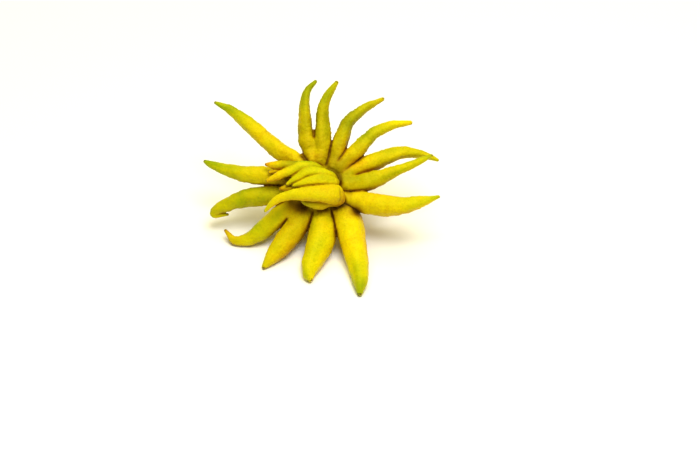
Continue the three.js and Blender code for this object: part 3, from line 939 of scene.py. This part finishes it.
class CitronStage(bpy.types.PropertyGroup):
    """The table, the lights and the camera."""
    table: tint("Table", "The board that the fruit lies on", (0.95, 0.95, 0.95))
    width: FloatProperty(
        name="Table width", description="Side of the square table", default=8, min=2, max=40,
        subtype="DISTANCE", unit="LENGTH")
    lens: FloatProperty(
        name="Lens", description="The camera's focal length",
        default=SENSOR_WIDTH * CAMERA_DISTANCE / VIEW_WIDTH, min=20, max=300, unit="CAMERA")


# Pieces --------------------------------------------------------------------------------------------

# How the light falls: the share of a hollow's dark that goes where it faces the sky, and how sharply
# a flank's shade sets in.
SKY_SHARE = 0.55
SHADED_FLANK_POWER = 1.3
# Dim corners get part of the clefts' painted shade.
CORNER_CLEFT = 0.5             # how much of a cleft's brown a dim corner gets

# Streaks run along each finger: noise read off a cylinder, in mm of the noise's own.
STREAK_GIRTH = 4.5             # the cylinder's radius
STREAK_STRETCH = 7             # mm along the finger to one along the cylinder
STREAKS_APART = 37.0           # along it from one finger's stretch to the next one's
STREAK_WIDTH = 6.0
# Faint rings go round each finger, and folds where it bends. Noise makes them wander.
RING_SPACING = 4.7             # mm
RING_WANDER = (11, 1.6)        # the noise's wavelength in mm, and the radians that it moves them by
FOLD_SPACING = 4.1
FOLD_WANDER = (9, 2.2)
FULL_BEND = 0.1                # radians a mm, past which the folds are full
# The peel's relief: waves of lumps and warts, in mm, and the share that each kind has of the warts.
LUMP_WIDTH = 13
WART_WIDTH, FINE_WART_WIDTH = 4.6, 2.6
WART_SHARE, RING_SHARE, FINE_WART_SHARE = 0.7, 0.45, 0.5
THIN_RADIUS = 6                # mm, below which a finger's relief gets lower with its radius
THIN_TIP = 5                   # mm before the tip over which it gets lower too
CLEFT_SMOOTHING = 0.85
# What each mark on the peel adds to its ripeness and to its depth of colour; the flank, corner, palm
# and tuck marks are painted shade.
RIPER = {"streak": 0.045, "riper": 0.03, "ring": 0.035, "palm": -0.22, "shaded_flank": 0.36}
DEEPER_AND_SHADED = {"deeper": 0.04, "ring": 0.03, "shaded_flank": 0.18, "corner": 0.9, "palm": 0.30, "tuck": 0.45}
RIPER_WIDTH = 22               # mm, of the patches that are riper
DEEPER_WIDTH = 15              # and of those that are deeper
SCUFF = (0.7, 0.5, 2.4)        # mm: a dry tip's reach, and its edge's swing and wavelength
LIFT = 0.15                    # mm that the visible skin stays above the table


def relief(points, skin, tuck, rings, peel):
    """How far the peel stands out from the smooth skin, in mm, below nought in clefts and tucks.

    It is the sum of lumps, folds and warts, each its height times its waves, lowered where the finger
    is thin, near its tip and in clefts, less the depths of the cleft and of the tuck.
    """
    wavelength, wander = FOLD_WANDER
    folds = np.clip(skin["bend"] / FULL_BEND, 0, 1) * np.cos(
        2 * math.pi * skin["mark"] / FOLD_SPACING + wander * ripples(points, wavelength, SEED + 13))
    warts = (WART_SHARE * ripples(points, WART_WIDTH, SEED + 4) + RING_SHARE * rings
             + FINE_WART_SHARE * ripples(points, FINE_WART_WIDTH, SEED + 5))
    height = (peel.lumps * ripples(points, LUMP_WIDTH, SEED + 3) + peel.folds * folds
              + peel.warts * warts) / MM
    thin = np.clip(skin["radius"] / THIN_RADIUS, 0.25, 1) * np.clip(skin["to_tip"] / THIN_TIP, 0.15, 1)
    cleft = skin["cleft"]
    return height * thin * (1 - CLEFT_SMOOTHING * cleft) - CLEFT_DEPTH * cleft**2 - TUCK_DEPTH * tuck


def weighed(marks, weights):
    """The sum of some marks, each times its weight."""
    return sum(weight * marks[name] for name, weight in weights.items())


class CITRON_OT_fruit(bpy.types.Operator):
    """Grow the fruit: the core, the ribs, the fan of fingers and the folded inner ones"""
    bl_idname = "citron.fruit"
    bl_label = "Fruit"

    def execute(self, context):
        peel = context.scene.citron_peel
        fingers = grow_fingers()
        rough = closed_mesh("fruit", [MM * finger.skin() for finger in fingers])
        mesh = remeshed(rough, peel.step)
        edges = edges_of(mesh)
        points = settled(corners_of(mesh) / MM, edges, fingers)
        skin = read_skin(points, fingers)
        hollow = hollows(points, skin["out"], fingers)
        shaded = 1 - SKY_SHARE * np.clip(skin["out"] @ SKY, 0, 1)
        round_finger = np.stack([
            STREAK_GIRTH * np.cos(skin["turn"]), STREAK_GIRTH * np.sin(skin["turn"]),
            skin["mark"] / STREAK_STRETCH + STREAKS_APART * skin["finger"]], axis=1)
        wavelength, wander = RING_WANDER
        rings = np.cos(2 * math.pi * skin["mark"] / RING_SPACING
                       + wander * ripples(points, wavelength, SEED + 2))
        # The palm, flank, corner and tuck marks are painted shade; streaks and rings are the peel's own
        # tone.
        marks = {
            "palm": dimness(points, PALM),
            "shaded_flank": np.clip(skin["out"] @ SHADED_FLANK, 0, 1) ** SHADED_FLANK_POWER,
            "corner": dimness(points, CORNERS),
            "tuck": tuckedness(points, TUCKS),
            "streak": ripples(round_finger, STREAK_WIDTH, SEED + 1),
            "ring": rings,
        }
        height = relief(points, skin, marks["tuck"], rings, peel)
        points = points + skin["out"] * height[:, None]
        marks["riper"] = ripples(points, RIPER_WIDTH, SEED + 6)
        marks["deeper"] = ripples(points, DEEPER_WIDTH, SEED + 12)

        placed = in_place(points)
        placed[:, 2] = np.maximum(placed[:, 2], LIFT * MM)
        mesh.vertices.foreach_set("co", placed.astype(np.float32).ravel())
        mesh.update()
        # Painted shade goes into the colour: the depth carries shaded flanks, dim corners, palm and
        # tucks, and the hollows and clefts are darkened, less where the skin faces the light.
        paint(mesh, "ripeness", skin["ripeness"] + weighed(marks, RIPER))
        paint(mesh, "depth", skin["depth"] + weighed(marks, DEEPER_AND_SHADED))
        paint(mesh, "hollow", hollow * shaded)
        paint(mesh, "cleft", np.maximum(skin["cleft"] * shaded, CORNER_CLEFT * marks["corner"]))
        reach, swing, wavelength = SCUFF
        to_edge = skin["to_tip"] + swing * ripples(points, wavelength, SEED + 7)
        paint(mesh, "scuff", np.exp(-np.maximum(to_edge, 0) / reach))
        finished("fruit", mesh, peel_material(peel), "fruit")
        return {"FINISHED"}


CALYX_RADIUS = 8.6
CALYX_THICKNESS = 1.8
CALYX_LOBES = 5
CALYX_SIDES = 160
CALYX_COURSE = 46              # points round the collar's section
CALYX_LIFT = 1.2               # mm from the scar to the collar's middle
CALYX_DROOP = 2.3              # mm that its rim hangs down over the neck
CALYX_SKEW = (0.25, 3, 1.0)    # its rim's unevenness: mm, times round, and radians that it is turned
CALYX_FILLING = (0.55, 0.7)    # the powers that fill out its section, outwards and upwards
CALYX_THINNING = 0.55          # the share of its thickness that it loses towards the rim
CALYX_WRINKLES = 25
WRINKLE_BEND = (2.2, 3, 1.2)   # how they wander: radians, times round, and radians more at the rim
WRINKLE_SIZE = 0.10            # as a share of its thickness
CALYX_ROUGHNESS = 0.10         # mm
CALYX_ROUGH_WIDTH = 3.0
STUB_START = 1.9               # mm along the stem's axis from the scar
STUB_END = 11.4
STUB_RADIUS = 4.6
STUB_SIDES = 120
STUB_RINGS = 90
# The stub's section from the axis at the calyx, up the bark, over the edge and in over the cut.
STUB_SECTION = np.array([
    (0.3, STUB_START), (3, STUB_START), (5.2, STUB_START), (5.35, 2.3), (5.0, 3.1), (4.7, 4.2),
    (STUB_RADIUS, 6), (STUB_RADIUS, 9), (4.62, 10.9), (4.45, STUB_END), (4.1, STUB_END - 0.06),
    (3, STUB_END - 0.14), (1.5, STUB_END - 0.2), (0.2, STUB_END - 0.12)])
# The section's corners between which the bark gives way to the cut, and how far it has done so there.
STUB_CUT = [8, 9, 10]
STUB_CUT_SHARES = (0, 0.35, 1)
# The bark's ridges are noise read off a cylinder, and so are the saw's marks on the cut.
RIDGE_GIRTH = 5                # mm, the cylinder's radius
RIDGE_STRETCH = 5              # mm along the stub to one along the cylinder
RIDGE_WIDTH = 2.6
RIDGE_SIZE = 0.028             # as a share of the stub's radius
RIDGE_RADIUS = 4               # mm from the axis, within which the ridges die out
SAW_WIDTH = 1.7
SAW_DEPTH = 0.05
STUB_OVAL = (0.03, 0.6)        # how oval it is, as a share of its radius, and radians it is turned by


def on_stem(points):
    """Points about the stem's axis, from the scar outwards, in the fruit's own frame."""
    place, axis = scar()
    turn = Vector((0, 0, 1)).rotation_difference(Vector(axis)).to_matrix()
    return points @ np.array(turn).T + place


class CITRON_OT_calyx(bpy.types.Operator):
    """Make the calyx: a five-lobed collar that hugs the neck"""
    bl_idname = "citron.calyx"
    bl_label = "Calyx"

    def execute(self, context):
        stem = context.scene.citron_stem
        # The rim at an angle round the stem is the radius less a notch between lobes, a bit uneven.
        angle = np.linspace(0, 2 * math.pi, CALYX_SIDES, endpoint=False)[None]
        notch = 0.5 - 0.5 * np.cos(CALYX_LOBES * angle)
        size, times, turned = CALYX_SKEW
        rim = CALYX_RADIUS - stem.lobes / MM * notch + size * np.cos(times * angle + turned)
        # The section goes out along the underside, over the rim, and back along the top. At s, from
        # -90 to 90 degrees, it is a power of cos s of the rim out, and a power of sin s of half the
        # thickness up, and it droops with the cube of how far out it is.
        course = np.linspace(0, 1, CALYX_COURSE)[:, None]
        section = math.pi * (course - 0.5)
        outwards, upwards = CALYX_FILLING
        share = np.cos(section) ** outwards
        side = np.sign(section) * np.abs(np.sin(section)) ** upwards
        reach = rim * np.clip(share, 0.02, 1)
        droop = -CALYX_DROOP * share**3 * (0.75 + 0.5 * (1 - notch))
        wander, times, lean = WRINKLE_BEND
        wrinkle = 0.5 + 0.5 * np.cos(
            CALYX_WRINKLES * angle + wander * np.sin(times * angle) + lean * share)
        half = (0.5 * CALYX_THICKNESS * (1 - CALYX_THINNING * share**4)
                * (1 + WRINKLE_SIZE * share * wrinkle))
        height = CALYX_LIFT + droop + side * half
        grid = np.stack([reach * np.cos(angle), reach * np.sin(angle),
                         height + 0 * angle], axis=-1)
        flat = grid.reshape(-1, 3)
        rough = flat + CALYX_ROUGHNESS * ripples(flat, CALYX_ROUGH_WIDTH, SEED + 8)[:, None]
        placed = in_place(on_stem(rough)).reshape(grid.shape)
        mesh = closed_mesh("calyx", [placed])
        poles = np.zeros(2)
        paint(mesh, "rim", np.concatenate([(share + 0 * angle).ravel(), poles]))
        paint(mesh, "wrinkle", np.concatenate([(share * (1 - wrinkle)).ravel(), poles]))
        finished("calyx", mesh, calyx_material(stem), "calyx")
        return {"FINISHED"}


class CITRON_OT_stem_stub(bpy.types.Operator):
    """Make the stem stub: a flared woody stalk with a flat cut"""
    bl_idname = "citron.stem_stub"
    bl_label = "Stem stub"

    def execute(self, context):
        stem = context.scene.citron_stem
        along = lengths_along(STUB_SECTION)
        marks = np.linspace(0, along[-1], STUB_RINGS)
        radius = np.interp(marks, along, STUB_SECTION[:, 0])[:, None]
        height = np.interp(marks, along, STUB_SECTION[:, 1])[:, None]
        angle = np.linspace(0, 2 * math.pi, STUB_SIDES, endpoint=False)[None]
        # The section is turned round the axis, its radius swelled by the ridges and by an oval, and
        # its height roughened on the cut by the saw.
        ring = np.stack([
            np.cos(angle) * RIDGE_GIRTH + 0 * height, np.sin(angle) * RIDGE_GIRTH + 0 * height,
            height / RIDGE_STRETCH + 0 * angle], axis=-1).reshape(-1, 3)
        ridges = ripples(ring, RIDGE_WIDTH, SEED + 9).reshape(STUB_RINGS, STUB_SIDES)
        cut = np.interp(marks, along[STUB_CUT], STUB_CUT_SHARES)[:, None] + 0 * angle
        oval, turned = STUB_OVAL
        swell = (1 + RIDGE_SIZE * ridges * np.clip(radius / RIDGE_RADIUS, 0, 1)
                 + oval * np.cos(2 * angle + turned))
        saw = SAW_DEPTH * ripples(ring, SAW_WIDTH, SEED + 10).reshape(STUB_RINGS, STUB_SIDES) * cut
        grid = np.stack([radius * swell * np.cos(angle), radius * swell * np.sin(angle),
                         height + saw], axis=-1)
        flat = grid.reshape(-1, 3)
        mesh = closed_mesh("stem_stub", [in_place(on_stem(flat)).reshape(grid.shape)])
        poles = np.array([grid[0].mean(axis=0), grid[-1].mean(axis=0)])
        paint(mesh, "stem_place", np.concatenate([flat, poles]))
        paint(mesh, "cut", np.concatenate([cut.ravel(), (0, 1)]))
        from_middle = radius / STUB_RADIUS + 0 * angle
        paint(mesh, "from_middle", np.concatenate([from_middle.ravel(), (0, 0)]))
        finished("stem_stub", mesh, stub_material(stem), "stem_stub")
        return {"FINISHED"}


AIM = (32, -41)                # mm across and up from the parting point to the middle of the view
LIGHTS = [                     # name, place and width in metres, power in watts, colour
    ("key", (0.38, -0.90, 2.4), 1.2, 43, (1, 1, 1)),
    ("ceiling", (0.0, 0.3, 2.6), 3.0, 78, (1, 0.90, 0.56)),
]
LIT_SPOT = (0, 0, 0.05)        # metres, where the lights are turned to
AIR_COLOUR = (1, 0.90, 0.62)
AIR_STRENGTH = 0.20


class CITRON_OT_stage(bpy.types.Operator):
    """Set the table, the soft lights and the camera"""
    bl_idname = "citron.stage"
    bl_label = "Stage"

    def execute(self, context):
        stage = context.scene.citron_stage
        scene = context.scene
        half = stage.width / 2
        board = bpy.data.meshes.new("table")
        board.from_pydata([(-half, -half, 0), (half, -half, 0), (half, half, 0), (-half, half, 0)],
                          [], [(0, 1, 2, 3)])
        board.materials.append(table_material(stage.table))
        table = bpy.data.objects.new("table", board)
        scene.collection.objects.link(table)

        world = bpy.data.worlds.new("studio")
        world.use_nodes = True
        air = world.node_tree.nodes["Background"].inputs
        air["Color"].default_value = (*AIR_COLOUR, 1)
        air["Strength"].default_value = AIR_STRENGTH
        scene.world = world
        for light in LIGHTS:
            soft_light(*light)

        scene.view_settings.view_transform = "Standard"
        lens = bpy.data.cameras.new("camera")
        lens.lens = stage.lens
        camera = bpy.data.objects.new("camera", lens)
        # The camera looks along the fruit's own axis, back towards the stem.
        start, end = in_place([(0, 0, 0), (0, 0, 1)])
        out = end - start
        middle = in_place([(*AIM, 0)])[0]
        camera.location = middle + CAMERA_DISTANCE * out / np.linalg.norm(out)
        camera.rotation_euler = Vector(-out).to_track_quat("-Z", "Y").to_euler()
        scene.collection.objects.link(camera)
        scene.camera = camera
        return {"FINISHED"}


def soft_light(name, place, size, power, colour):
    """A square panel of light, turned to the fruit."""
    panel = bpy.data.lights.new(name, "AREA")
    panel.shape = "SQUARE"
    panel.size = size
    panel.energy = power
    panel.color = colour
    light = bpy.data.objects.new(name, panel)
    light.location = place
    beam = Vector(place) - Vector(LIT_SPOT)
    light.rotation_euler = beam.to_track_quat("Z", "Y").to_euler()
    bpy.context.scene.collection.objects.link(light)


class CITRON_PT_citron(bpy.types.Panel):
    """The citron's pieces, one button each, and their settings"""
    bl_idname = "CITRON_PT_citron"
    bl_label = "Fingered Citron"
    bl_space_type = "VIEW_3D"
    bl_region_type = "UI"
    bl_category = "Citron"

    def draw(self, context):
        scene = context.scene
        parts = ((scene.citron_peel, (CITRON_OT_fruit,)),
                 (scene.citron_stem, (CITRON_OT_calyx, CITRON_OT_stem_stub)),
                 (scene.citron_stage, (CITRON_OT_stage,)))
        for settings, operators in parts:
            box = self.layout.box()
            for name in settings.__annotations__:
                box.prop(settings, name)
            for operator in operators:
                box.operator(operator.bl_idname)


CLASSES = (CitronPeel, CitronStem, CitronStage, CITRON_OT_fruit, CITRON_OT_calyx,
           CITRON_OT_stem_stub, CITRON_OT_stage, CITRON_PT_citron)


def register():
    """Make the classes and the scene's settings known."""
    for kind in CLASSES:
        bpy.utils.register_class(kind)
    bpy.types.Scene.citron_peel = PointerProperty(type=CitronPeel)
    bpy.types.Scene.citron_stem = PointerProperty(type=CitronStem)
    bpy.types.Scene.citron_stage = PointerProperty(type=CitronStage)


def unregister():
    """Take them away again."""
    for name in ("citron_peel", "citron_stem", "citron_stage"):
        delattr(bpy.types.Scene, name)
    for kind in reversed(CLASSES):
        bpy.utils.unregister_class(kind)


def main():
    """Make every piece and the stage."""
    register()
    bpy.ops.citron.fruit()
    bpy.ops.citron.calyx()
    bpy.ops.citron.stem_stub()
    bpy.ops.citron.stage()


if __name__ == "__main__":
    main()
